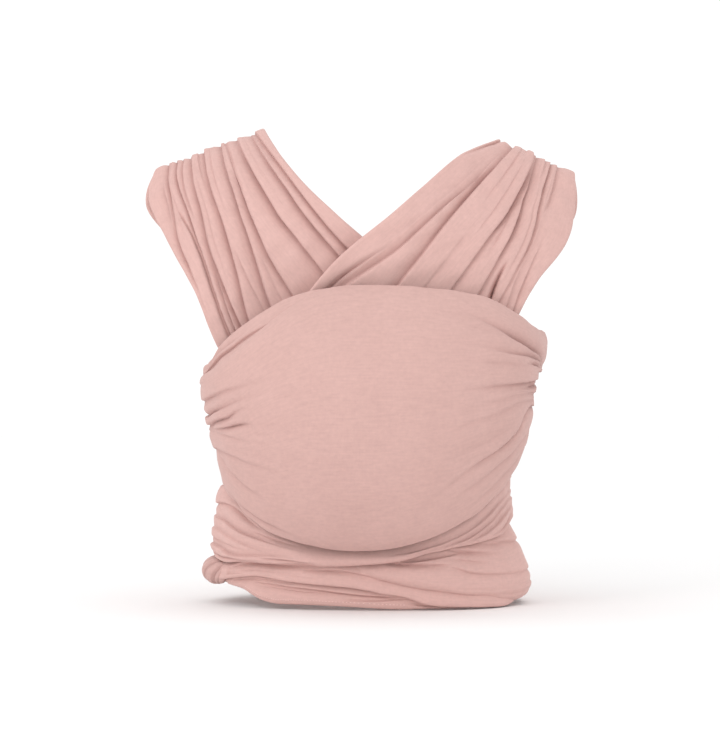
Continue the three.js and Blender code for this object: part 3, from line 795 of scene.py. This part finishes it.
# the two bands that fan out of the hip twist
lowerBand = {
    "rows": [
        [-66, 19.5, 34, 17], [-60, 18.5, 35, 17], [-52, 16, 35, 16], [-45, 10.5, 35, 15],
        [-40, 7, 34, 15], [-35, 4.6, 32, 14], [-28, 4, 28, 14], [-20, 4.2, 27, 14],
        [-12, 3.4, 25, 14], [-4, 2.4, 23, 14], [2, 1.2, 21, 14], [10, 0.2, 20, 14], [18, 0, 19, 14],
        [30, 0, 18, 14], [50, 0.6, 18, 15], [66, 3, 17, 15], [82, 10, 20, 12],
    ],
    "rowsAt": [(-66, 82, 225)], "columns": (56, 6, 8),
    "roll": 1.2, "tuck": 16, "seed": 41, "uneven": 0.15, "ease": (3, 6, 2, 6),
    "creases": [
        [1, 0.8, 2.6, (-50, 24.5, 0), (-42, 24, 2), (-35, 23, 2.5), (-28, 21.2, 2.5),
         (-15, 18.5, 3), (-5, 15.3, 3), (0, 13.6, 3), (5, 12.6, 3), (11, 10.6, 0)],
        [1, 0.8, 2.4, (-46, 22, 0), (-40, 21, 1.6), (-30, 19, 2.2), (-20, 16.6, 2.4),
         (-11, 15.6, 1.6), (-5, 15, 0)],
        [-1, 0.8, 2.2, (-8, 9.6, 0), (-3, 9.2, 1.6), (3, 8.8, 2.2), (7, 9.6, 2.4), (12, 10.8, 0)],
        [1, 0.9, 2.6, (-60, 25, 1), (-52, 26.5, 1.5), (-44, 27.6, 1.5), (-36, 26.6, 1.5),
         (-24, 24, 0)],
        [-1, 0.8, 2.2, (10, 7, 0), (16, 4.6, 1.6), (22, 3.2, 1.6), (30, 4, 0)],
        [1, 1.0, 2.4, (22, 6, 0), (34, 5, 1.4), (46, 4, 1.4), (60, 5, 0)],
    ],
}
upperBand = {
    "rows": [
        [-72, 24, 40, 24], [-66, 24.5, 41.5, 23], [-60, 25.8, 43, 22], [-55, 27, 46, 21.5],
        [-48, 28.8, 52, 21], [-43, 29.5, 53.5, 20.6], [-36, 28.4, 54, 20.2], [-30, 26.3, 53, 20],
        [-20, 24, 50, 20], [-10, 22, 47, 20], [-4, 20.6, 45, 20], [0, 18.4, 43, 20],
        [5, 14, 40.5, 20], [12, 9.5, 37, 20], [20, 4, 33.5, 20], [28, 2.5, 32, 20], [46, 1, 28, 21],
        [60, 1, 26, 21], [70, 4, 26, 20], [80, 9, 26, 17], [91, 13, 26, 15],
    ],
    "rowsAt": [(-72, 91, 235)], "columns": (60, 6, 8),
    "roll": 1.3, "tuck": 18, "seed": 42, "uneven": 0.2, "ease": (1.5, 5, 4, 8),
    "creases": [
        [1, 1.2, 4, (-61, 36, 1), (-52, 40.5, 2), (-42, 43, 3), (-34, 41.8, 3.4), (-28, 41, 3.4),
         (-18, 41.2, 2), (-10, 40.5, 0)],
        [1, 1.0, 3.5, (-24, 38.4, 0), (-18, 37.4, 2.5), (-10, 37, 3), (-4, 35.5, 2.5),
         (4, 28, 1.5), (10, 23, 0)],
        [-1, 1.6, 4, (-58, 33, 0), (-48, 36, 0.9), (-36, 36, 0.9), (-22, 32, 0.7), (-8, 29, 0)],
        [1, 1.2, 3, (-2, 17.6, 0), (3, 14.5, 2.4), (9, 12.6, 2.4), (16, 8, 0)],
        [-1, 1.2, 3.2, (-61, 31, 1.5), (-55, 32.5, 1.2), (-48, 33, 0)],
    ],
}
for name, data, node in (
    ("waist_band_lower_cloth", lowerBand, "waist_band_lower"),
    ("waist_band_upper_cloth", upperBand, "waist_band_upper"),
):
    piece, flat = bodyPiece(name, data["rows"], data, waistJersey)
    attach(piece, "wrap")
    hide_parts(node)
    print(name, [round(x, 3) for x in flat])

# the pass that spirals round the waist: right band, back, cradle, right end
spiralRows = [
    [-10, 38, 45, 24], [-6, 36.6, 46.5, 24.4], [-2, 33.6, 47.5, 25], [2, 29.2, 49, 25.4],
    [8, 24, 52.5, 26], [15, 20, 57, 26], [22, 17, 61, 26], [30, 14.2, 65, 26], [40, 12, 69, 25.6],
    [47, 11, 72, 25], [55, 6.4, 76, 25], [62, 4.6, 79, 26.5], [70, 4.6, 83, 29], [78, 6, 86, 32],
    [92, 6, 87, 33], [112, 3, 87, 26], [134, 0, 89, 17], [150, 0, 91, 15], [157, 0, 93, 14],
    [180, 0, 97, 13], [203, 6, 101, 14], [226, 30, 105, 16], [248, 44, 108, 20], [260, 47, 111, 26],
    [272, 49, 112, 29.5], [280, 46, 112, 29.5], [288, 42, 112, 29], [300, 40, 110, 29.5],
    [310, 40.5, 103, 31], [320, 41, 94, 31], [330, 41, 82, 31], [340, 40.5, 73, 31],
    [352, 40, 69, 31], [360, 41.5, 68, 31], [368, 44, 70, 31], [375, 48, 77, 31], [385, 53, 89, 31],
    [398, 58, 108, 31], [410, 62, 130, 29], [422, 66, 148, 27], [432, 74, 158, 26],
    [448, 80, 158, 25.5], [462, 83, 150, 27], [478, 84, 147, 28], [492, 86, 144, 26],
    [510, 90, 140, 25], [526, 96, 136, 25], [539, 102, 130, 26],
]
spiral = {
    "roll": [(-10, 1.5), (60, 1.5), (92, 2.0), (272, 2.1), (539, 2.1)],
    "tuck": 25, "seed": 43, "uneven": 0.3,
    "ease": [
        (-10, 6, 10, 10, 24), (50, 6, 10, 13, 30), (76, 10, 18, 18, 65), (95, 10, 18, 20, 75),
        (120, 6, 14, 10, 60), (140, 1, 8, 3, 20), (250, 1, 8, 4, 16), (272, 4, 8, 5, 16),
        (300, 4, 8, 11, 20), (440, 4, 8, 11, 20), (470, 1, 8, 3, 16), (539, 1, 8, 1, 12),
    ],
    "creases": [
        # right band
        [-1, 1.2, 4, (8, 46.5, 0), (14, 46.8, 4), (20, 48, 4), (27, 50.5, 3), (36, 54.5, 0)],
        [1, 1.2, 4, (26, 57, 0), (33, 55, 3), (38, 54, 3.5), (48, 52.4, 2), (60, 51.5, 0)],
        [1, 1.1, 3.5, (4, 45.6, 0), (9, 44.8, 4), (15, 43.6, 4), (22, 42.6, 3), (31, 41, 0)],
        [1, 1.2, 4, (24, 49, 0), (32, 46.4, 1.8), (40, 44, 1.8), (52, 42, 0)],
        [1, 1.3, 5, (24, 41, 0), (30, 38.6, 1.6), (35, 35, 2.2), (40, 33, 2.2), (50, 31.4, 1.8),
         (62, 31, 1.6), (92, 33, 2.2), (134, 30, 4), (180, 40, 4), (226, 66, 4), (260, 71, 3),
         (272, 69, 0)],
        [1, 1.1, 3.5, (8, 43, 0), (14, 42.2, 2.4), (21, 40.4, 2), (29, 37.6, 0)],
        [-1, 1.6, 5, (24, 21, 0), (36, 18.5, 1), (50, 17.6, 1), (68, 20, 0.8), (92, 22, 2),
         (134, 16, 3.5), (180, 22, 4), (226, 49, 4), (248, 58, 3), (272, 58, 3), (285, 57, 3),
         (295, 55, 3), (302, 51, 3.5), (310, 49.5, 3), (318, 50, 2.5), (328, 51, 2), (340, 50, 0)],
        [1, 1.2, 4, (44, 60.5, 0), (54, 60, 2), (64, 61, 2.6), (74, 60, 2.6), (92, 61, 2.6),
         (134, 64, 4), (180, 76, 4), (226, 92, 4), (260, 97, 3), (272, 94, 3), (288, 96, 3),
         (298, 95, 3), (310, 88, 4), (316, 81, 3), (324, 72, 0)],
        [-1, 1.2, 3, (52, 12.4, 0), (60, 11.5, 1.2), (74, 12.5, 1.2), (92, 13, 0)],
        [-1, 1.4, 7, (93, 46, 0), (112, 47, 3), (134, 48, 4), (180, 58, 4.5), (226, 79, 4),
         (260, 84, 3), (272, 84, 2), (285, 82, 2.5), (295, 80, 3), (300, 77, 3), (310, 71, 3.5),
         (320, 66, 3), (330, 61, 1.5), (342, 55, 0)],
        # cradle, left of the middle
        [1, 1.2, 4, (314, 73, 0), (320, 70.5, 2.5), (325, 68, 3), (331, 64.5, 2.5), (340, 59, 0)],
        [-1, 1.5, 6, (250, 73, 0), (272, 73, 2), (290, 71, 2), (302, 66, 2), (312, 61, 2),
         (324, 54, 1.6), (334, 48.5, 0)],
        [1, 1.2, 5, (240, 66, 0), (272, 64, 2.5), (285, 62, 2.5), (295, 60, 2), (308, 56, 1.5),
         (318, 53, 0)],
        [1, 1.1, 3.5, (250, 52, 0), (272, 54, 3), (285, 50, 3.5), (295, 47, 3.5), (305, 45.3, 3),
         (314, 44, 2), (326, 44, 0)],
        [1, 1.1, 4, (320, 47.5, 0), (327, 46.7, 2.5), (335, 46, 3.5), (340, 44.5, 3),
         (346, 42.5, 0)],
        # cradle, right of the middle
        [-1, 2.2, 7, (364, 52, 0), (372, 55, 2), (382, 61, 2.5), (392, 69, 2.5), (405, 82, 2.5),
         (418, 95, 2.5), (432, 104, 2), (448, 108, 2), (478, 108, 4), (510, 111, 4.5),
         (539, 112, 4)],
        [-1, 1.8, 6, (370, 49, 0), (380, 54, 2), (390, 61, 3), (400, 70, 3), (412, 81, 2.5),
         (424, 92, 2.5), (436, 99, 2), (448, 101, 2), (478, 96, 4), (510, 101, 4.5), (539, 107, 4)],
        [-1, 1.6, 6, (384, 55, 0), (396, 62, 2), (406, 70, 2.5), (416, 78, 2.5), (426, 86, 2.5),
         (440, 92, 2), (456, 91, 0)],
        [1, 2.2, 7, (388, 76, 0), (398, 88, 2), (408, 101, 2.5), (418, 112, 3), (430, 122, 3),
         (448, 127, 2), (478, 121, 4), (510, 120, 4.5), (539, 118, 4)],
        [1, 1.6, 6, (410, 96, 0), (420, 106, 2), (430, 113, 2.5), (448, 117, 2), (466, 114, 0)],
        [-1, 1.4, 5, (404, 64, 0), (414, 68, 2), (424, 74, 3), (434, 82, 2.5), (450, 86, 0)],
        [1, 1.3, 5, (440, 140, 0), (456, 137, 2), (478, 134, 4), (510, 129, 4.5), (539, 123, 4)],
    ] + fineCreases(10, 12, (100, 240), (15, 85), 34, 2.2, 4)
      + fineCreases(13, 6, (470, 530), (95, 138), 26, 2.0, 3),
}
for name, rowsAt, nodes, material, slot in (
    ("waist_right_wrap_cloth", [(-10, 92, 170), (93.4, 161, 44)],
     ["waist_band_right"], waistJersey, "jersey_waist"),
    ("waist_left_wrap_cloth", [(161, 262, 64), (263, 449, 212), (450.5, 539, 58)],
     ["back_waist_inner", "pouch_cradle", "right_end_pass"], gatheredJersey, "jersey_gathered"),
):
    data = dict(spiral, rowsAt=rowsAt, columns=(84, 7, 8))
    piece, flat = bodyPiece(name, spiralRows, data, material)
    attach(piece, "wrap")
    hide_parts(*nodes)
    print(name, [round(x, 3) for x in flat])

leftEnd = {
    "rows": [
        [183, 102, 130, 26], [196, 90, 126, 25], [212, 56, 98, 25], [226, 28, 64, 26],
        [237, 21, 48, 26], [246, 22, 40, 20],
    ],
    "rowsAt": [(183, 246, 138)], "columns": (60, 6, 10),
    "roll": 2.0, "tuck": 20, "seed": 53, "uneven": 0.3,
    "creases": [
        [1, 1.1, 5, (183, 123, 4), (196, 116, 4.5), (212, 88, 4.5), (226, 56, 4), (241, 38, 3.5)],
        [-1, 1.1, 5, (183, 116, 4), (196, 106, 4.5), (212, 77, 4.5), (226, 46, 4), (241, 31, 3.5)],
        [1, 1.1, 5, (183, 109, 4), (196, 97, 4.5), (212, 66, 4.5), (226, 37, 4), (241, 25, 3.5)],
    ],
}
piece, flat = bodyPiece(
    "left_end_pass_cloth", leftEnd["rows"], leftEnd, gatheredJersey)
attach(piece, "wrap")
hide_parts("left_end_pass")
print("left_end_pass_cloth", [round(x, 3) for x in flat])


def twistPiece(name, spec, material):
    # A rope of cloth: an oval section carried along a path, with grooves that wind
    # round it; a groove is a narrow valley, the cosine of the winding to a high power.
    rowCount, around = spec["grid"]
    last = len(spec["path"]) - 1
    places = np.linspace(0, last, rowCount)
    row = smoothRows(spec["path"], places)
    after = smoothRows(spec["path"], np.clip(places + 0.05, 0, last))
    before = smoothRows(spec["path"], np.clip(places - 0.05, 0, last))
    ahead = unit(after[:, :3] - before[:, :3])
    wide = np.asarray(spec["wide"], float)
    wide = unit(wide - ahead * (ahead @ wide)[:, None])
    out = unit(np.cross(ahead, wide))
    turn = np.linspace(0, math.tau, around, endpoint=False)[None, :]
    part = (places / last)[:, None]
    wander = 0.5 * np.sin(2 * turn + 3 * part)
    winding = spec["folds"] * (turn + spec["lead"]) + spec["twist"] * part + wander
    groove = (0.5 + 0.5 * np.cos(winding)) ** spec["sharp"]
    second = (0.5 + 0.5 * np.cos(1.7 * winding + 1.3)) ** (1.6 * spec["sharp"])
    depth = spec["groove"] * groove + 0.45 * spec["groove"] * second
    ends = np.sqrt(1 - (1 - np.clip(np.minimum(part, 1 - part) / 0.08, 0, 1)) ** 2) + 0.01
    halfWide = (row[:, 3:4] - depth * ends) * ends
    halfThick = (row[:, 4:5] - depth * ends) * ends
    point = (row[:, None, :3] + wide[:, None, :] * (np.cos(turn) * halfWide)[..., None]
             + out[:, None, :] * (np.sin(turn) * halfThick)[..., None])
    run = np.linalg.norm(np.diff(row[:, :3], axis=0), axis=-1).sum()
    girth = math.tau * row[:, 3].mean()
    uvs = np.stack(np.broadcast_arrays(part * run, turn / math.tau * girth), -1) * toMetres
    # painted shade in the grooves, stored for the material
    paintedCreaseShade = np.clip(0.8 * groove + 0.4 * second, 0, 1)
    piece = makeMesh(name, point, gridFaces(rowCount, around, closed=True), uvs, paintedCreaseShade)
    return finishCloth(piece, material)


hipTwist = {
    # angle, height, lift, half height and half thickness along the waist
    "path": [[*ring(np.array(float(a)), np.array(float(z)), lift), w, t] for a, z, lift, w, t in (
        (-55, 34, 9, 5, 2), (-61, 33, 12, 6.5, 4), (-67, 32, 15.5, 8.5, 6.5),
        (-72, 31.6, 18.5, 10.5, 9), (-77, 31.4, 20.2, 11.7, 11), (-84, 31.2, 20.8, 11.9, 11.8),
        (-92, 31, 21, 11.8, 11.6), (-100, 31, 21, 11.6, 11), (-109, 31, 21, 11.5, 9),
        (-118, 31, 21, 11, 7))],
    "grid": (190, 150), "wide": (0, 0, 1), "folds": 4, "twist": 38, "lead": 0.3,
    "groove": 1.9, "sharp": 7,
}
hip = twistPiece("hip_twist_cloth", hipTwist, knotJersey)
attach(hip, "wrap")
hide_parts("hip_twist")


knot = {
    "reach": 33, "behind": 114, "bow": 5, "halfThick": 12, "taper": 0.45,
    "grid": (130, 130), "wide": (0, 0, 1), "folds": 4, "groove": 2.4, "sharp": 6,
}


def halfKnot(height, halfHeight, curl, twist, lead):
    # a bar across the back that bows, curls and thins with the square of the way out
    path = []
    for x in np.linspace(-knot["reach"], knot["reach"], 7):
        outward = (x / knot["reach"]) ** 2
        thinned = 1 - knot["taper"] * outward
        path.append([x, knot["behind"] - knot["bow"] * outward, height + curl * outward,
                     halfHeight * thinned, knot["halfThick"] * thinned])
    return dict(knot, path=path, twist=twist, lead=lead)


for name, data, node in (
    ("back_knot_lower_cloth", halfKnot(111, 14, 4, 6.5, 0.2), "back_knot_lower"),
    ("back_knot_upper_cloth", halfKnot(139, 13, -4, -6.5, 0.9), "back_knot_upper"),
):
    piece = twistPiece(name, data, knotJersey)
    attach(piece, "wrap")
    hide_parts(node)
print("twist and knots made")

# the tails hang from the ends of the knot
rightTail = {
    "route": [[31, 111, 133, 43, 111, 128, 4], [36, 115, 106, 59, 115, 104, 4],
              [35, 113, 62, 70, 113, 64, 3], [32, 110, 8, 78, 110, 20, 2]],
    "rowsAt": [(0, 3, 120)], "columns": (70, 6, 10),
    "roll": 1.6, "tuck": 18, "lift": 2.2, "facing": -1, "seed": 61, "uneven": 0.5,
    "creases": [
        [1, 1.2, 5, (0, .25, 4), (1, .22, 4.5), (2, .2, 4), (3, .18, 3)],
        [-1, 1.2, 5, (0, .5, 4), (1, .47, 4.5), (2, .46, 4), (3, .44, 3)],
        [1, 1.3, 6, (0, .75, 4), (1, .72, 4.5), (2, .74, 4), (3, .76, 3)],
    ] + fineCreases(14, 5, (0, 2.4), (0.1, 0.9), 0.8, 1.6, 0.03),
}
leftTail = {
    "route": [[-44, 111, 128, -31, 111, 133, 4], [-60, 115, 108, -37, 115, 106, 4],
              [-70, 113, 76, -36, 113, 74, 3], [-77, 110, 44, -34, 110, 30, 2]],
    "rowsAt": [(0, 3, 110)], "columns": (70, 6, 10),
    "roll": 1.6, "tuck": 18, "lift": 2.2, "facing": -1, "seed": 62, "uneven": 0.5,
    "creases": [
        [1, 1.2, 5, (0, .28, 4), (1, .25, 4.5), (2, .24, 4), (3, .22, 3)],
        [1, 1.2, 5, (0, .52, 4), (1, .5, 4.5), (2, .52, 4), (3, .5, 3)],
        [-1, 1.3, 6, (0, .76, 4), (1, .75, 4.5), (2, .77, 4), (3, .8, 3)],
    ] + fineCreases(15, 5, (0, 2.4), (0.1, 0.9), 0.8, 1.6, 0.03),
}
for name, data, node, body in (
    ("right_tail_cloth", rightTail, "right_tail", "right_tail_end"),
    ("left_tail_cloth", leftTail, "left_tail", "left_tail_end"),
):
    piece, flat = routePiece(name, data["route"], data, tailJersey)
    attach(piece, body)
    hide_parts(node)
print("tails made")


def stitchPiece(name, centres, directions, outwards, spec):
    # Each stitch is a short rounded bar: a half circle section, its radius the root
    # of a parabola along the bar, laid on the cloth.
    rings, sides = spec["grid"]
    part = np.linspace(-1, 1, rings)
    radius = spec["radius"] * np.sqrt(np.maximum(1 - part ** 4, 0.02))
    turn = np.linspace(0, np.pi, sides)
    across = unit(np.cross(outwards, directions))
    point = (centres[:, None, None, :]
             + directions[:, None, None, :] * (part * spec["length"] / 2)[None, :, None, None]
             + across[:, None, None, :] * (radius[:, None] * np.cos(turn))[None, :, :, None]
             + outwards[:, None, None, :] * (radius[:, None] * np.sin(turn))[None, :, :, None])
    faces = gridFaces(rings, sides)
    each = rings * sides
    allFaces = (faces[None, :, :] + (np.arange(len(centres)) * each)[:, None, None]).reshape(-1, 4)
    piece = makeMesh(name, point, allFaces[:, ::-1])
    piece.data.materials.append(thread)
    return piece


stitches = {
    "radius": 0.34, "length": 1.9, "grid": (5, 4),
    "hemFrom": -50, "hemTo": 12, "hemStep": 1.15,    # degrees round the front
    "aboveHem": 5.2, "clear": 0.05, "tailCount": 16,
}
hemAngles = np.arange(stitches["hemFrom"], stitches["hemTo"], stitches["hemStep"])
hemHeight = np.maximum(byAngle(hemAngles, lowerBand["rows"])[0], 0) + stitches["aboveHem"]
hemSurface = bodySurface(lowerBand["rows"], noBulge, lowerBand["ease"])
spot, normal, _ = hemSurface(hemAngles, hemHeight)
nextAngles = hemAngles + 0.5
nextHeight = smoothLine(nextAngles, hemAngles, hemHeight)
heading = unit(hemSurface(nextAngles, nextHeight)[0] - spot)
fold = foldField(hemAngles, hemHeight, 1, lowerBand["creases"])[0]
waviness = unevenness(hemAngles * 2.2, hemHeight, lowerBand["seed"], lowerBand["uneven"])
spot = spot + normal * (fold + waviness + stitches["clear"])[:, None]
piece = stitchPiece("waist_hem_stitches", spot, heading, normal, stitches)
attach(piece, "wrap")
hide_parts("waist_hem_thread")


def tailStitches(name, data, node, body):
    # a row of stitches across the end of a tail, just above its hem
    across = np.linspace(0.08, 0.92, stitches["tailCount"])
    place = np.full_like(across, len(data["route"]) - 1.1)
    row = smoothRows(data["route"], place)
    scale = np.linalg.norm(row[:, 3:6] - row[:, 0:3], axis=-1)
    spot = row[:, 0:3] * (1 - across)[:, None] + row[:, 3:6] * across[:, None]
    heading = unit(row[:, 3:6] - row[:, 0:3])
    normal = np.tile([0.0, 1.0, 0.0], (len(across), 1))
    fold = foldField(place, across, scale, data["creases"])[0]
    waviness = unevenness(place * 60, across * scale, data["seed"], data["uneven"])
    lift = data["lift"] + row[:, 6] * 4 * across * (1 - across) + fold + waviness
    piece = stitchPiece(name, spot + normal * lift[:, None], heading, normal, stitches)
    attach(piece, body)
    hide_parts(node)


tailStitches("right_tail_stitches", rightTail, "right_tail_thread", "right_tail_end")
tailStitches("left_tail_stitches", leftTail, "left_tail_thread", "left_tail_end")
print("stitches made")

# camera in millimetres from the wearer's axis, lights in watts
studio = {
    "cameraDistance": 2500.0, "cameraHeight": 224.3, "cameraSide": -1.9, "viewWidth": 684.0,
    "world": 1.06, "key": 7.6, "fill": 1.0, "low": 3.2,
}


def makeStage():
    # a flat square of floor under the wrap
    side = np.array([-6.0, 6.0]) / toMetres
    x, y = np.meshgrid(side, side, indexing="ij")
    point = np.stack([x, y, 0 * x], -1) - axisShift
    floor = makeMesh("studio_floor", point, gridFaces(2, 2))
    material = bpy.data.materials.new("pale paper floor")
    material.use_nodes = True
    shader = material.node_tree.nodes["Principled BSDF"]
    shader.inputs["Base Color"].default_value = (0.95, 0.95, 0.95, 1)
    shader.inputs["Roughness"].default_value = 0.9
    shader.inputs["Specular IOR Level"].default_value = 0.1
    floor.data.materials.append(material)


def softLight(name, spot, aim, size, power):
    # a round soft light at a spot, turned towards its aim
    data = bpy.data.lights.new(name, "AREA")
    data.shape = "DISK"
    data.size = size
    data.energy = power
    lamp = bpy.data.objects.new(name, data)
    bpy.context.scene.collection.objects.link(lamp)
    lamp.location = spot
    direction = np.asarray(aim, float) - np.asarray(spot, float)
    lamp.rotation_euler = Vector(direction).to_track_quat("-Z", "Y").to_euler()


makeStage()
world = bpy.data.worlds.new("studio")
bpy.context.scene.world = world
world.use_nodes = True
world.node_tree.nodes["Background"].inputs[0].default_value = (1, 1, 1, 1)
world.node_tree.nodes["Background"].inputs[1].default_value = studio["world"]
softLight("key", (-1.1, -1.5, 1.25), (0, 0, 0.22), 0.8, studio["key"])
softLight("fill", (1.5, -1.6, 0.7), (0, 0, 0.2), 1.4, studio["fill"])
softLight("low", (-0.3, -1.9, 0.12), (0, 0, 0.06), 1.2, studio["low"])

camera = bpy.data.cameras.new("camera")
camera.sensor_fit = "HORIZONTAL"
camera.sensor_width = 36
camera.lens = 36 * studio["cameraDistance"] / studio["viewWidth"]
camera.clip_start, camera.clip_end = 0.05, 50
eye = bpy.data.objects.new("camera", camera)
bpy.context.scene.collection.objects.link(eye)
eyePlace = [studio["cameraSide"], -studio["cameraDistance"], studio["cameraHeight"]]
eye.location = (np.array(eyePlace) + axisShift) * toMetres
eye.rotation_euler = (math.pi / 2, 0, 0)
bpy.context.scene.camera = eye
bpy.context.scene.view_settings.view_transform = "Standard"
print("studio made")
